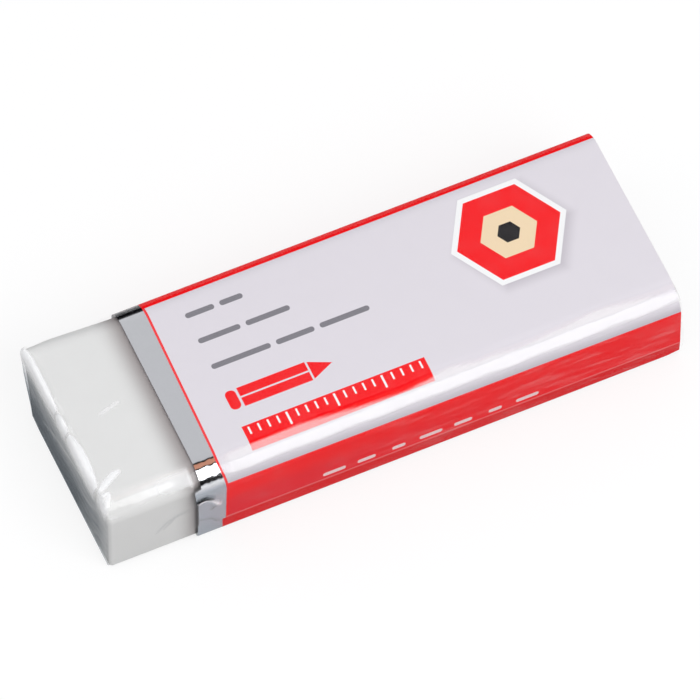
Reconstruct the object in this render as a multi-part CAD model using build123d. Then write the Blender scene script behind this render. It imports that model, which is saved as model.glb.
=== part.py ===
from build123d import *
import os

# Millimetres, +Z up. The bare end of the block points to -X, the card's glued side seam to -Y.
# The origin is the middle of the footprint of the wrapped eraser, on the surface that it lies on.

# Eraser block
block_length = 60.0
block_width = 21.0
block_height = 10.0
upper_edge_radius = 2.4
lower_edge_radius = 0.55
block_end_radius = 0.4

# Card sleeve: one strip of card wound once round the block and glued to itself on the front side
card = 0.3
card_clearance = 0.02
glue_line = 0.01
bare_length = 9.6
seam_height = 2.2
flap_land = 0.2
flap_peek = 0.45

# Clear film round everything, lapped along the back and folded like an envelope at both ends
film = 0.05
film_clearance = 0.02
film_ramp = 2.0
lap_width = 4.0

# Folds on an end, lowest layer first, as shares of half the end's width and of its height
back_tuck_shares = [(1, 0), (1, 1), (0.52, 0.5)]
front_tuck_shares = [(-1, 0), (-1, 1), (-0.52, 0.5)]
top_flap_shares = [(-1, 1), (1, 1), (0.48, 0.42), (-0.48, 0.42)]
bottom_flap_shares = [(-1, 0), (1, 0), (0.27, 0.46), (0, 0.6), (-0.32, 0.66), (-0.68, 0.81), (-1, 0.9)]
fold_layers = [[back_tuck_shares, front_tuck_shares], [top_flap_shares], [bottom_flap_shares]]

# How far each side of the wrapped eraser stands out from the block
wrap = card_clearance + card + film_clearance + film
front_wrap = wrap + glue_line + card
back_wrap = wrap + film

# Faces of the block
block_left = -block_length / 2
block_right = block_length / 2
block_middle = (front_wrap - back_wrap) / 2
block_front = block_middle - block_width / 2
block_back = block_middle + block_width / 2
block_bottom = wrap
block_top = block_bottom + block_height

# Where the long edges' roundings start
upper_back = block_back - upper_edge_radius
upper_level = block_top - upper_edge_radius
lower_front = block_front + lower_edge_radius
lower_back = block_back - lower_edge_radius
lower_level = block_bottom + lower_edge_radius

# The sleeve's last turn, which passes over the glue flap
sleeve_length = block_length - bare_length
sleeve_left = block_right - sleeve_length
upper_sleeve_radius = upper_edge_radius + card_clearance
lower_sleeve_radius = lower_edge_radius + card_clearance
turn_radius = upper_sleeve_radius + card
outer_flap_front = block_front - card_clearance - card - glue_line
turn_front = outer_flap_front + turn_radius
turn_top = block_top + card_clearance - turn_radius


def section_plane(x):
    """Cross-section at x, with its own x along +Y and its own y along +Z."""
    return Plane(origin=(x, 0, 0), x_dir=(0, 1, 0), z_dir=(1, 0, 0))


def bar_section(front, back, bottom, top, upper_radius, lower_radius):
    """Upright rectangle between four faces, with a wide rounding above and a narrow one below."""
    middle = Pos((front + back) / 2, (bottom + top) / 2)
    sharp = Rectangle(back - front, top - bottom)
    half_round = fillet(sharp.vertices().group_by(Axis.Y)[-1], upper_radius)
    return middle * fillet(half_round.vertices().group_by(Axis.Y)[0], lower_radius)


def eraser_block():
    """Bar of vinyl, rounder above than below, with softened ends."""
    section = bar_section(
        block_front,
        block_back,
        block_bottom,
        block_top,
        upper_edge_radius,
        lower_edge_radius,
    )
    bar = extrude(section_plane(block_left) * section, block_length)
    ends = bar.faces().filter_by(Axis.X)
    return fillet(ends.edges(), block_end_radius)


def lower_line(out):
    """Card surface that lies out from its inner face: glue flap, front rounding and underside."""
    flap_top = turn_top - flap_land
    flap_front = block_front - card_clearance - out
    underside = block_bottom - card_clearance - out
    return [
        Line((flap_front, flap_top), (flap_front, lower_level)),
        CenterArc((lower_front, lower_level), lower_sleeve_radius + out, 180, 90),
        Line((lower_front, underside), (lower_back, underside)),
    ]


def upper_line(out):
    """Card surface that lies out from its inner face: back, top and the outer flap on the front."""
    back = block_back + card_clearance + out
    top = block_top + card_clearance + out
    seam = block_bottom + seam_height
    return [
        CenterArc((lower_back, lower_level), lower_sleeve_radius + out, 270, 90),
        Line((back, lower_level), (back, upper_level)),
        CenterArc((upper_back, upper_level), upper_sleeve_radius + out, 0, 90),
        Line((upper_back, top), (turn_front, top)),
        CenterArc((turn_front, turn_top), turn_radius + out, 90, 90),
        Line((outer_flap_front - out, turn_top), (outer_flap_front - out, seam)),
    ]


def card_section(surface):
    """Face between the two sides of the card."""
    inside = surface(0)
    outside = surface(card)
    start = Line(inside[0] @ 0, outside[0] @ 0)
    end = Line(inside[-1] @ 1, outside[-1] @ 1)
    return make_face(inside + outside + [start, end])


def card_sleeve():
    """Card strip wound a little out of square, so that its glue flap stands out at the bare end."""
    upper = extrude(section_plane(sleeve_left) * card_section(upper_line), sleeve_length)
    lower = extrude(section_plane(sleeve_left - flap_peek) * card_section(lower_line), sleeve_length + flap_peek)
    flap_front = block_front - card_clearance - card
    skew = Polyline(
        (sleeve_left, lower_back),
        (sleeve_left - flap_peek, flap_front),
        (block_right - flap_peek, flap_front),
        (block_right, lower_back),
        close=True,
    )
    return upper + (lower & extrude(make_face(skew), block_top))


def wrapped_form(gap):
    """Closed form that lies gap outside the sleeve and the bare end, with a ramp between the two."""
    over_card = card_clearance + card + gap
    sleeve_section = bar_section(
        outer_flap_front - card - gap,
        block_back + over_card,
        block_bottom - over_card,
        block_top + over_card,
        upper_edge_radius + over_card,
        lower_edge_radius + over_card,
    )
    bare_section = bar_section(
        block_front - gap,
        block_back + gap,
        block_bottom - gap,
        block_top + gap,
        upper_edge_radius + gap,
        lower_edge_radius + gap,
    )
    bare_left = block_left - gap
    ramp_right = sleeve_left - flap_peek - gap
    ramp_left = ramp_right - film_ramp
    sleeve_face = section_plane(ramp_right) * sleeve_section
    ramp_face = section_plane(ramp_left) * bare_section
    ramp = loft([ramp_face, sleeve_face], ruled=True)
    over_sleeve = extrude(sleeve_face, block_right + gap - ramp_right)
    over_bare = extrude(section_plane(bare_left) * bare_section, ramp_left - bare_left)
    form = over_bare + ramp + over_sleeve
    end = form.faces().sort_by(Axis.X)[0]
    return fillet(end.edges(), block_end_radius + gap)


def end_folds(start, way):
    """Film tucked in from both sides, then the top flap, then the bottom flap, on one end face."""
    flat_width = block_width - 2 * block_end_radius
    flat_height = block_height - 2 * block_end_radius
    flat_bottom = block_bottom + block_end_radius
    flat = bar_section(
        block_front + block_end_radius,
        block_back - block_end_radius,
        flat_bottom,
        block_top - block_end_radius,
        upper_edge_radius - block_end_radius,
        lower_edge_radius - block_end_radius,
    )
    plane = section_plane(start)
    folds = []
    for below, layer in enumerate(fold_layers):
        for shares in layer:
            corners = [(block_middle + u * flat_width / 2, flat_bottom + v * flat_height) for u, v in shares]
            outline = make_face(Polyline(*corners, close=True)) & flat
            folds.append(extrude(plane * outline, way * film * (below + 1)))
    return folds


def film_wrap():
    """Tight film skin with a lap along the back and folded ends."""
    skin = film_clearance + film
    outside = wrapped_form(skin)
    lap_middle = block_bottom + block_height / 2
    lap_start = block_left + block_end_radius
    lap_room = Pos((lap_start + block_right) / 2, block_back, lap_middle) * Box(
        block_right - lap_start, block_width, lap_width
    )
    lap = (wrapped_form(skin + film) - outside) & lap_room
    wall = outside - wrapped_form(film_clearance)
    left_folds = end_folds(block_left - skin, -1)
    right_folds = end_folds(block_right + skin, 1)
    return wall + lap + left_folds + right_folds


os.makedirs("parts", exist_ok=True)
for name, piece in {
    "eraser_block": eraser_block(),
    "card_sleeve": card_sleeve(),
    "film_wrap": film_wrap(),
}.items():
    export_step(piece, f"parts/{name}.step")
    print(name, len(piece.solids()), "solid,", round(piece.volume, 2), "mm3,", piece.bounding_box().size)
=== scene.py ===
# %% [markdown]
# # A white block eraser in its card sleeve, under clear film
#
# On the bench this is three pieces: a pressed bar of white vinyl, a strip of foil-faced card that is printed,
# wound once round the bar and glued to itself on the front side, and a sheet of clear film that is folded round
# both as paper is folded round a parcel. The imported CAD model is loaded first. It gives every place, in metres,
# and each of its three solids is then replaced by a piece with a finished surface.

# %% Load the frame
from functools import partialmethod, reduce
from math import atan2, cos, hypot, pi, radians, sin

import bmesh
import bpy
import numpy as np
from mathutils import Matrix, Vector


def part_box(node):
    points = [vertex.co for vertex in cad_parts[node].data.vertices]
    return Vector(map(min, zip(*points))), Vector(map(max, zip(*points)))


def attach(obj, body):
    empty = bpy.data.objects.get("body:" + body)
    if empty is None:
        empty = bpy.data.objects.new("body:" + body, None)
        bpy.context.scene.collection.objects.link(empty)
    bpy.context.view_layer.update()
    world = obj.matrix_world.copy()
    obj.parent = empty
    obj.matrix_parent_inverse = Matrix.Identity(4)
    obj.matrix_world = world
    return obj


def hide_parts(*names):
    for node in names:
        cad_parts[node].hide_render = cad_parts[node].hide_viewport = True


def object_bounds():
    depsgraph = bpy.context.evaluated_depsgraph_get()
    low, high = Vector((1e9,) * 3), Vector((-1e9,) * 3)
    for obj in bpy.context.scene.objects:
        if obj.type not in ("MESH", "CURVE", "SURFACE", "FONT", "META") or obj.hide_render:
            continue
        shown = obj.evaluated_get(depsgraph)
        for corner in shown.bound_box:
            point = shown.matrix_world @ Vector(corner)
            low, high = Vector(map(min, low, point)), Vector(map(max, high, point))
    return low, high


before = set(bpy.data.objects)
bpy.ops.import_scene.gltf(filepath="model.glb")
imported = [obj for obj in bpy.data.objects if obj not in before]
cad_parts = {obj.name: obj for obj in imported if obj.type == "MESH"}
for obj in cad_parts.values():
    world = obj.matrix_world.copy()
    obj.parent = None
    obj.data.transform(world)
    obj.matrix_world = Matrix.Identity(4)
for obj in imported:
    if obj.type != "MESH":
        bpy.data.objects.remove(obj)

cad_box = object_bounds()
mm = 0.001
block_low, block_high = (Vector(corner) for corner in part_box("eraser_block"))
sleeve_low, sleeve_high = (Vector(corner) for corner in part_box("card_sleeve"))
print("block", [round(side / mm, 2) for side in block_high - block_low], "mm")
print("sleeve", [round(side / mm, 2) for side in sleeve_high - sleeve_low], "mm")

# %% [markdown]
# ## A frame to measure in
#
# The photograph was measured from the middle of the block's underside, in millimetres: X along the block, away
# from its bare end, Y towards the back and Z up. The folds and the print are all written in those measures, so
# two small functions turn them into places in the scene and back.

# %% Measures on the block
block_base = Vector(((block_low.x + block_high.x) / 2, (block_low.y + block_high.y) / 2, block_low.z))
half_length = (block_high.x - block_low.x) / 2 / mm
half_width = (block_high.y - block_low.y) / 2 / mm
block_height = (block_high.z - block_low.z) / mm
upper_radius = 2.4
lower_radius = 0.3
end_radius = 0.4
soft_radius = 1.0
upper_reach = half_width - upper_radius
lower_reach = half_width - lower_radius
upper_level = block_height - upper_radius
lower_level = lower_radius


def place(x, y, z):
    """The place in the scene of a point that was measured on the block."""
    return block_base + Vector((x, y, z)) * mm


def measured(points):
    """An array of places in the scene, as measures on the block."""
    return (points - np.array(block_base)) / mm


print("block frame at", [round(c / mm, 3) for c in block_base], "mm")

# %% [markdown]
# ## Hands for the modelling
#
# Operators act on whatever is selected, so every piece starts with nothing selected, and edges are picked by
# where they are. The same habits come back in each piece: add a box at its size, pick edges by a test, cut the
# whole mesh by rows of planes where it has to bend later, and move its corners as one array of measures.

# %% Modelling helpers


def start_box(name, low, high):
    """A cube at its size and place, with both put into its mesh."""
    bpy.ops.object.select_all(action="DESELECT")
    bpy.ops.mesh.primitive_cube_add(size=1, location=(low + high) / 2, scale=high - low)
    piece = bpy.context.object
    piece.name = piece.data.name = name
    bpy.ops.object.transform_apply(location=True, rotation=True, scale=True)
    return piece


def pick_edges(piece, wanted):
    """In edit mode, selects the edges whose two ends pass a test, in measures on the block."""
    bpy.ops.mesh.select_mode(type="EDGE")
    bpy.ops.mesh.select_all(action="DESELECT")
    mesh = bmesh.from_edit_mesh(piece.data)
    for edge in mesh.edges:
        ends = [(corner.co - block_base) / mm for corner in edge.verts]
        if wanted(*ends):
            edge.select_set(True)
    bmesh.update_edit_mesh(piece.data)


def cut_rows(axis, start, stop, step):
    """In edit mode, cuts the whole mesh by planes across an axis, from start to stop in measures on the block."""
    across = Vector([float(name == axis) for name in "xyz"])
    for row in np.arange(start, stop, step):
        bpy.ops.mesh.select_all(action="SELECT")
        bpy.ops.mesh.bisect(plane_co=block_base + across * row * mm, plane_no=across)


def corners(piece):
    """All corners of a mesh as one array of measures on the block."""
    flat = np.empty(len(piece.data.vertices) * 3)
    piece.data.vertices.foreach_get("co", flat)
    return measured(flat.reshape(-1, 3))


def move_corners(piece, spots):
    """Puts the corners of a mesh where an array of measures on the block says."""
    piece.data.vertices.foreach_set("co", (spots * mm + np.array(block_base)).ravel())
    piece.data.update()


def paint_corners(piece, name, values):
    """Writes one value a corner into the mesh, for its material to read."""
    layer_map = piece.data.attributes.new(name, "FLOAT", "POINT")
    layer_map.data.foreach_set("value", values.astype(np.float32))


def thicken(piece, gauge, inner_slot=0):
    """Gives the active sheet its thickness inwards, with a material slot for its inner side and cut edges."""
    bpy.ops.object.modifier_add(type="SOLIDIFY")
    solid = piece.modifiers[-1]
    solid.thickness = gauge * mm
    solid.offset = -1
    solid.material_offset = inner_slot
    solid.material_offset_rim = inner_slot
    bpy.ops.object.modifier_apply(modifier=solid.name)


def finish_surface(piece, angle=40):
    """Smooth shading, apart from edges sharper than the angle, with flat faces that stay flat."""
    bpy.ops.object.select_all(action="DESELECT")
    piece.select_set(True)
    bpy.context.view_layer.objects.active = piece
    bpy.ops.object.shade_smooth_by_angle(angle=radians(angle))


def unit(values):
    """Values kept between 0 and 1."""
    return np.clip(values, 0, 1)


def ease(low, high, values):
    """0 below low, 1 above high, and an even S between them."""
    share = unit((values - low) / (high - low))
    return share * share * (3 - 2 * share)


# %% [markdown]
# ## The vinyl block
#
# The bar is pressed and then cut to length: its upper long edges have a wide rounding, its lower ones a narrow one,
# and the cut ends only lose their sharpness. A subdivided cage would make all edges alike, so the three kinds are
# bevelled one after the other, each to its own radius. The wrapper has squeezed the bare end: its far lower corner
# leans in, its far upper edge is fuller, and the edge of its top is softer. Weighted normals keep the broad faces
# flat in the light.

# %% Vinyl block
corner_lean = 2.3
edge_fill = 0.62


def round_bar(piece, above, below, left, right, steps):
    """In edit mode, rounds the long edges of a box, and then its two ends."""
    pick_edges(piece, lambda a, b: abs(a.x - b.x) > half_length and a.z > block_height / 2)
    bpy.ops.mesh.bevel(offset=above * mm, segments=steps, affect="EDGES")
    pick_edges(piece, lambda a, b: abs(a.x - b.x) > half_length and max(a.z, b.z) < lower_radius / 2)
    bpy.ops.mesh.bevel(offset=below * mm, segments=6, affect="EDGES")
    pick_edges(piece, lambda a, b: max(a.x, b.x) < -half_length + 0.01)
    bpy.ops.mesh.bevel(offset=left * mm, segments=6, affect="EDGES")
    pick_edges(piece, lambda a, b: min(a.x, b.x) > half_length - 0.01)
    bpy.ops.mesh.bevel(offset=right * mm, segments=3, affect="EDGES")


def squeeze(spots):
    """Presses the bare end: its far lower corner leans in, and its far upper edge is less round towards the end."""
    x, y, z = spots.T
    lean = unit(1 - z / block_height) * ease(-27.0, -30.0, x) * ease(2.0, half_width, y)
    corner = unit((y - upper_reach) / upper_radius) * unit((z - upper_level) / upper_radius)
    full = corner * unit((-21.0 - x) / 9.0)
    return spots + np.stack([np.zeros(len(x)), edge_fill * full - corner_lean * lean, edge_fill * full], axis=1)


def soften_end(spots, stand):
    """Rounds the upper edge of the bare end to a wider radius, stand outside the vinyl."""
    x, y, z = spots.T
    dx = x - (-half_length + soft_radius)
    dz = z - (block_height - soft_radius)
    far = np.hypot(dx, dz)
    radius = soft_radius + stand
    outside = (dx < 0) & (dz > 0) & (far > radius)
    share = np.where(outside, radius / np.maximum(far, 0.01), 1)
    return np.stack([x + dx * (share - 1), y, z + dz * (share - 1)], axis=1)


vinyl_block = start_box("vinyl_block", block_low, block_high)
bpy.ops.object.mode_set(mode="EDIT")
round_bar(vinyl_block, upper_radius, lower_radius, end_radius, end_radius, 16)
cut_rows("x", -29.9, -28.9, 0.1)
cut_rows("x", -28.6, -21.0, 0.4)
cut_rows("y", 2.0, upper_reach, 1.0)
cut_rows("z", 9.0, 9.95, 0.1)
bpy.ops.object.mode_set(mode="OBJECT")
move_corners(vinyl_block, squeeze(soften_end(corners(vinyl_block), 0.0)))
finish_surface(vinyl_block)
bpy.ops.object.modifier_add(type="WEIGHTED_NORMAL")
bpy.ops.object.modifier_apply(modifier=vinyl_block.modifiers[-1].name)
print("vinyl block:", len(vinyl_block.data.polygons), "faces")

# %% [markdown]
# ## The card sleeve
#
# The sleeve is one strip of card. It starts as the glue flap on the front side, goes down round the front edge,
# under the block, up the back, over the top, and comes down again over its own flap, so the front has two
# layers and the last turn is wider than the others. A strip is made as it is wound: the flap is a plane, each
# straight run is an extruded edge and each turn a spun one. The print belongs to the flat strip, so every corner
# gets its place on the flat sheet as its UV: how far along the block, and how far round from the flap's edge.

# %% Wind the strip
card = 0.3
card_clearance = 0.02
glue_line = 0.01
seam_height = 2.2
flap_land = 0.2
flap_peek = 0.45
tab_reach = 0.28
flap_past = 0.24
layer_past = 0.08
low_lean = 0.12
buckle_height = 0.013
turn_steps = 24
sheet_unit = 100.0

strip_left = sleeve_low.x / mm - block_base.x / mm + flap_peek
strip_right = half_length
out = card_clearance + card
card_radius = upper_radius + out
last_radius = card_radius + card
flap_front = -half_width - out
last_front = flap_front - glue_line - card
last_centre = (last_front + last_radius, block_height + out - last_radius)

# The winding: straight runs end at a point (Y, Z), turns go a quarter round a centre
flap_start = (flap_front, last_centre[1] - flap_land)
winding = [
    ("run", (flap_front, lower_level)),
    ("turn", (-lower_reach, lower_level)),
    ("run", (lower_reach, -out)),
    ("turn", (lower_reach, lower_level)),
    ("run", (half_width + out, upper_level)),
    ("turn", (upper_reach, upper_level)),
    ("run", (last_centre[0], block_height + out)),
    ("turn", last_centre),
    ("run", (last_front, seam_height)),
]

bpy.ops.object.select_all(action="DESELECT")
first_end = winding[0][1]
flap_height = flap_start[1] - first_end[1]
bpy.ops.mesh.primitive_plane_add(
    size=1,
    location=place((strip_left + strip_right) / 2, flap_front, flap_start[1] - flap_height / 2),
    rotation=(pi / 2, 0, 0),
)
printed_sleeve = bpy.context.object
printed_sleeve.name = printed_sleeve.data.name = "printed_sleeve"
printed_sleeve.scale = ((strip_right - strip_left) * mm, flap_height * mm, 1)
bpy.ops.object.transform_apply(location=True, rotation=True, scale=True)

bpy.ops.object.mode_set(mode="EDIT")
pick_edges(printed_sleeve, lambda a, b: max(a.z, b.z) < flap_start[1] - flap_height / 2)
stations = [(0.0, flap_start)]
here = flap_start
walked = 0.0
for kind, goal in winding:
    if kind == "run":
        step = Vector((0, goal[0] - here[0], goal[1] - here[1]))
        if here is not flap_start:
            bpy.ops.mesh.extrude_region_move(TRANSFORM_OT_translate={"value": step * mm})
        walked += step.length
        here = goal
    else:
        arm = (here[0] - goal[0], here[1] - goal[1])
        bpy.ops.mesh.spin(
            steps=turn_steps, angle=-pi / 2, center=place(0, *goal), axis=(1, 0, 0), use_auto_merge=False
        )
        walked += hypot(*arm) * pi / 2
        here = (goal[0] - arm[1], goal[1] + arm[0])
    stations.append((walked, here))
bpy.ops.object.mode_set(mode="OBJECT")
print("strip:", round(walked, 2), "mm round,", len(printed_sleeve.data.polygons), "faces")

# %% [markdown]
# The place on the flat sheet is worked out from the same list of runs and turns: the corner lies on the piece of
# the winding that it is nearest to, and what was walked before that piece is added.

# %% Unroll the strip into its UV map


def unrolled(y, z):
    """How far round the strip a point of its outer face lies, from the glue flap's edge."""
    best = (1e9, 0.0)
    for (kind, goal), (before, start) in zip(winding, stations):
        if kind == "run":
            run = Vector((goal[0] - start[0], goal[1] - start[1]))
            share = min(max((Vector((y, z)) - Vector(start)).dot(run) / run.length_squared, 0), 1)
            off = (Vector(start) + run * share - Vector((y, z))).length
            best = min(best, (off, before + run.length * share))
        else:
            first = atan2(start[1] - goal[1], start[0] - goal[0])
            radius = hypot(start[0] - goal[0], start[1] - goal[1])
            swing = (atan2(z - goal[1], y - goal[0]) - first) % (2 * pi)
            if swing <= pi / 2 + 0.01:
                off = abs(hypot(y - goal[0], z - goal[1]) - radius)
                best = min(best, (off, before + radius * swing))
    return best[1]


sheet_map = printed_sleeve.data.uv_layers.active or printed_sleeve.data.uv_layers.new()
sheet_map.name = "sheet"
for loop in printed_sleeve.data.loops:
    x, y, z = measured(np.array(printed_sleeve.data.vertices[loop.vertex_index].co))
    sheet_map.data[loop.index].uv = (x / sheet_unit, unrolled(y, z) / sheet_unit)

bpy.ops.object.mode_set(mode="EDIT")
cut_rows("x", strip_left + 0.1, strip_left + 3.0, 0.1)
cut_rows("x", strip_left + 3.6, strip_right, 1.2)
cut_rows("z", seam_height + 0.1, last_centre[1] + 0.4, 0.13)
bpy.ops.object.mode_set(mode="OBJECT")
print("sheet cut into", len(printed_sleeve.data.polygons), "faces")

# %% [markdown]
# A hand-fed strip is never quite square: the glue flap stands out a little at the bare end, the outer layer is
# drawn out over it in a small tab below the turn, and the far end stands a little past the block. The foil was
# nipped when the film was pulled tight, which left a hooked crease, two finer ones, a pin-sized bump and fine
# buckles round the turn. All are moved in the mesh, because foil shows every change of slope. A painted dark
# reflection along the creases and a painted highlight beside them are written on the corners. Then the sheet gets
# its thickness inwards, with the bare card on the inner side and on the cut edges.

# %% Skew, nip and thicken the card


def ridge(p, q, points, width, height):
    """A crease along a line of points on a face: how far it lifts the face at each (p, q)."""
    lift = np.zeros(len(p))
    spans = list(zip(points, points[1:]))
    for number, ((ax, ay), (bx, by)) in enumerate(spans):
        length2 = (bx - ax) ** 2 + (by - ay) ** 2
        share = unit(((p - ax) * (bx - ax) + (q - ay) * (by - ay)) / length2)
        off = np.hypot(p - ax - share * (bx - ax), q - ay - share * (by - ay))
        along = (number + share) / len(spans)
        taper = np.sqrt(unit(np.sin(np.pi * (0.12 + 0.76 * along))))
        lift = np.maximum(lift, taper * np.exp(-((off / width) ** 2)))
    return lift * height


def nip(x, z):
    """The hooked crease, two finer ones and the bump in the foil's front corner."""
    hook = [(-21.0, 6.85), (-20.6, 7.2), (-20.1, 7.3), (-19.4, 6.9), (-18.9, 5.7)]
    spur = [(-19.5, 4.9), (-19.1, 5.3), (-18.7, 5.8)]
    hairline = [(-20.7, 3.6), (-19.4, 3.1), (-18.4, 1.5)]
    bump = np.exp(-(((x + 18.62) / 0.16) ** 2 + ((z - 5.2) / 0.2) ** 2)) * 0.07
    return ridge(x, z, hook, 0.3, 0.3) + ridge(x, z, spur, 0.16, 0.1) + ridge(x, z, hairline, 0.14, 0.04) + bump


def painted_crease_light(x, z):
    """The foil's painted light along its creases: above 0 a painted dark reflection, below 0 a painted highlight."""
    hook = [(-21.3, 6.9), (-20.6, 7.3), (-20.1, 7.4), (-19.5, 7.0)]
    spur = [(-19.5, 4.8), (-19.1, 5.15), (-18.85, 5.5)]
    hairline = [(-20.7, 3.5), (-19.4, 3.0), (-18.4, 1.5)]
    dark = np.maximum(ridge(x, z, hook, 0.26, 1.1), ridge(x, z, spur, 0.14, 0.9))
    dark = np.maximum(dark, ridge(x, z, hairline, 0.12, 0.35))
    below_hook = ridge(x, z, [(-20.9, 6.45), (-20.3, 6.75), (-19.8, 6.55)], 0.16, 0.8)
    tail = ridge(x, z, [(-19.45, 6.5), (-18.95, 5.8), (-18.62, 5.2)], 0.18, 1.0)
    return dark - np.maximum(below_hook, tail)


def buckles(x, turn):
    """Fine buckles in the foil round the last turn, which break the bands that it mirrors."""
    jag = 1.5 * np.sin(9.1 * x) + np.sin(15.3 * x + 1)
    return buckle_height * np.sin(5 * last_radius * turn + jag) * np.sin(2 * turn) * ease(-17.4, -18.2, x)


spots = corners(printed_sleeve)
x, y, z = spots.T
around_low = np.where((y < lower_reach) & (z < lower_level), 1.0, 0.0)
on_flap = (np.abs(y - flap_front) < 0.05) & (z < flap_start[1] + 0.01)
lag = np.where(on_flap, 1.0, around_low * unit((lower_reach - y) / (lower_reach - flap_front)))
lag *= 1 - ease(24.0, strip_right, x)
on_last = np.where(on_flap | (y > 0), 0.0, ease(8.62, 8.42, z) * (z > seam_height - 0.01))
drawn = on_last * (1 - ease(strip_left, strip_left + 2.5, x))
on_front = np.abs(y - last_front) < 0.05
crease_light = np.where(on_front, painted_crease_light(x - drawn * flap_peek, z), 0)
paint_corners(printed_sleeve, "painted_crease_light", crease_light)
spots[:, 1] -= np.where(on_front, nip(x - drawn * flap_peek, z), 0)
tab = on_last * ease(6.7, 6.95, z) * (1 - ease(strip_left, strip_left + 1.2, x))
spots[:, 0] -= (lag + drawn) * flap_peek + tab_reach * tab
turn = np.arctan2(last_centre[0] - y, z - last_centre[1])
buckle = np.where((y < last_centre[0]) & (z > last_centre[1]), buckles(x, turn), 0)
spots[:, 1] -= buckle * np.sin(turn)
spots[:, 2] += buckle * np.cos(turn)
low_corner = ease(28.6, strip_right, x) * ease(2.2, -out, z) * (y < 0)
spots[:, 1] += low_lean * low_corner
low_part = flap_past * ease(6.0, 2.6, z) - 0.14 * ease(0.4, -out, z)
stand_out = np.where(on_flap | (z < lower_level + 0.01), low_part, layer_past)
spots[:, 0] += stand_out * ease(27.0, strip_right, x) * (y < 0)
move_corners(printed_sleeve, spots)

bpy.ops.object.mode_set(mode="EDIT")
bpy.ops.mesh.select_all(action="SELECT")
top_face = max(printed_sleeve.data.polygons, key=lambda face: face.center.z)
if top_face.normal.z < 0:
    bpy.ops.mesh.flip_normals()
bpy.ops.object.mode_set(mode="OBJECT")
thicken(printed_sleeve, card, 1)
finish_surface(printed_sleeve, 50)
print("printed sleeve:", len(printed_sleeve.data.polygons), "faces")

# %% [markdown]
# ## The clear film
#
# The film is a tight skin, so it starts as the block's own form, a little larger, and is cut into a fine net.
# Three kinds of move then make it film. Over the sleeve the net steps out by the card's thickness, with a short
# slope where the film bridges the step. On the ends the flaps lie over each other, one film thickness a layer.
# And wherever the photograph shows a highlight with a shape of its own, the film stands off the block in a
# crease, a scallop or a fan of small folds. All lifts go outwards, so the film never cuts what it wraps.

# %% Film net
film_gauge = 0.03
film_stand = 0.06
film_low = block_low - Vector((1, 1, 1)) * film_stand * mm
film_high = block_high + Vector((1, 1, 1)) * film_stand * mm

clear_wrap = start_box("clear_wrap", film_low, film_high)
bpy.ops.object.mode_set(mode="EDIT")
round_bar(clear_wrap, upper_radius + film_stand, lower_radius + film_stand, end_radius + film_stand, film_stand, 24)
cut_rows("x", -half_length + end_radius + film_stand, strip_left, 0.14)
cut_rows("x", strip_left, half_length, 0.9)
cut_rows("y", -upper_reach + 0.1, upper_reach, 0.22)
cut_rows("y", 0.03, 0.85, 0.08)
cut_rows("z", lower_level + 0.1, upper_level, 0.25)
cut_rows("z", block_height - soft_radius, block_height - 0.1, 0.12)
bpy.ops.object.mode_set(mode="OBJECT")
print("film net:", len(clear_wrap.data.polygons), "faces")

# %% [markdown]
# Each fold is a short function of the measures on its own face, and gives a lift, a mask or both. The end's flaps
# are described as the wrapper folds them: both sides tucked in, the top flap over them, the bottom flap last, with
# its uneven upper edge. The masks say where the film is hazy with a painted highlight in it, where a painted shade
# dims what is behind it, and where it is scuffed, for its material to read.

# %% Film steps and end layers
ramp_right = strip_left - flap_peek - tab_reach
ramp_left = ramp_right - 2.0
layer = 0.03


def step_out(spots):
    """How the film moves outwards over the sleeve, and the slope before it."""
    x, y, z = spots.T
    above = z > block_height / 2
    radius = np.where(above, upper_radius, lower_radius) + film_stand
    reach = np.where(above, upper_reach, lower_reach)
    y_out = (y - np.clip(y, -reach, reach)) / radius
    z_out = (z - np.clip(z, lower_level, upper_level)) / radius
    share = ease(ramp_left, ramp_right, x)
    two_layers = out + (-last_front - half_width - out) * unit(z / seam_height)
    side = np.where(y_out > 0, out, two_layers)
    return np.stack([np.zeros(len(x)), y_out * share * side, z_out * share * out], axis=1)


def end_layers(y, z):
    """Layers of film on an end face, with soft steps between them."""
    u = y / half_width
    v = z / block_height
    soft = 0.012
    bottom_edge = np.interp(u, [-1, -0.68, -0.32, 0, 0.27, 1], [0.9, 0.81, 0.66, 0.6, 0.46, 0])
    top_edge = 0.42 + unit(np.abs(u) - 0.48) * 1.1
    tuck_edge = 0.5 - np.clip((np.abs(u) - 0.52) / 0.96, -1, 1)
    tucks = ease(-soft, soft, np.abs(v - 0.5) * -1 + 0.5 - tuck_edge)
    top_flap = ease(-soft, soft, v - top_edge)
    bottom_flap = ease(-soft, soft, bottom_edge - v)
    return tucks, top_flap, bottom_flap


# %% [markdown]
# Along the top edge of the bare end the film is puffed into three lobes, and in the near corner it is crushed into a
# fan of small folds. Longer pulls run across the top and from the nipped foil across the front.

# %% Lobes, fan and pulls
lobes = [(10.2, 2.2, 0.3, 0.2), (1.95, -0.45, 0.2, 0.16), (-0.6, -7.3, 0.66, 0.24)]


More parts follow.
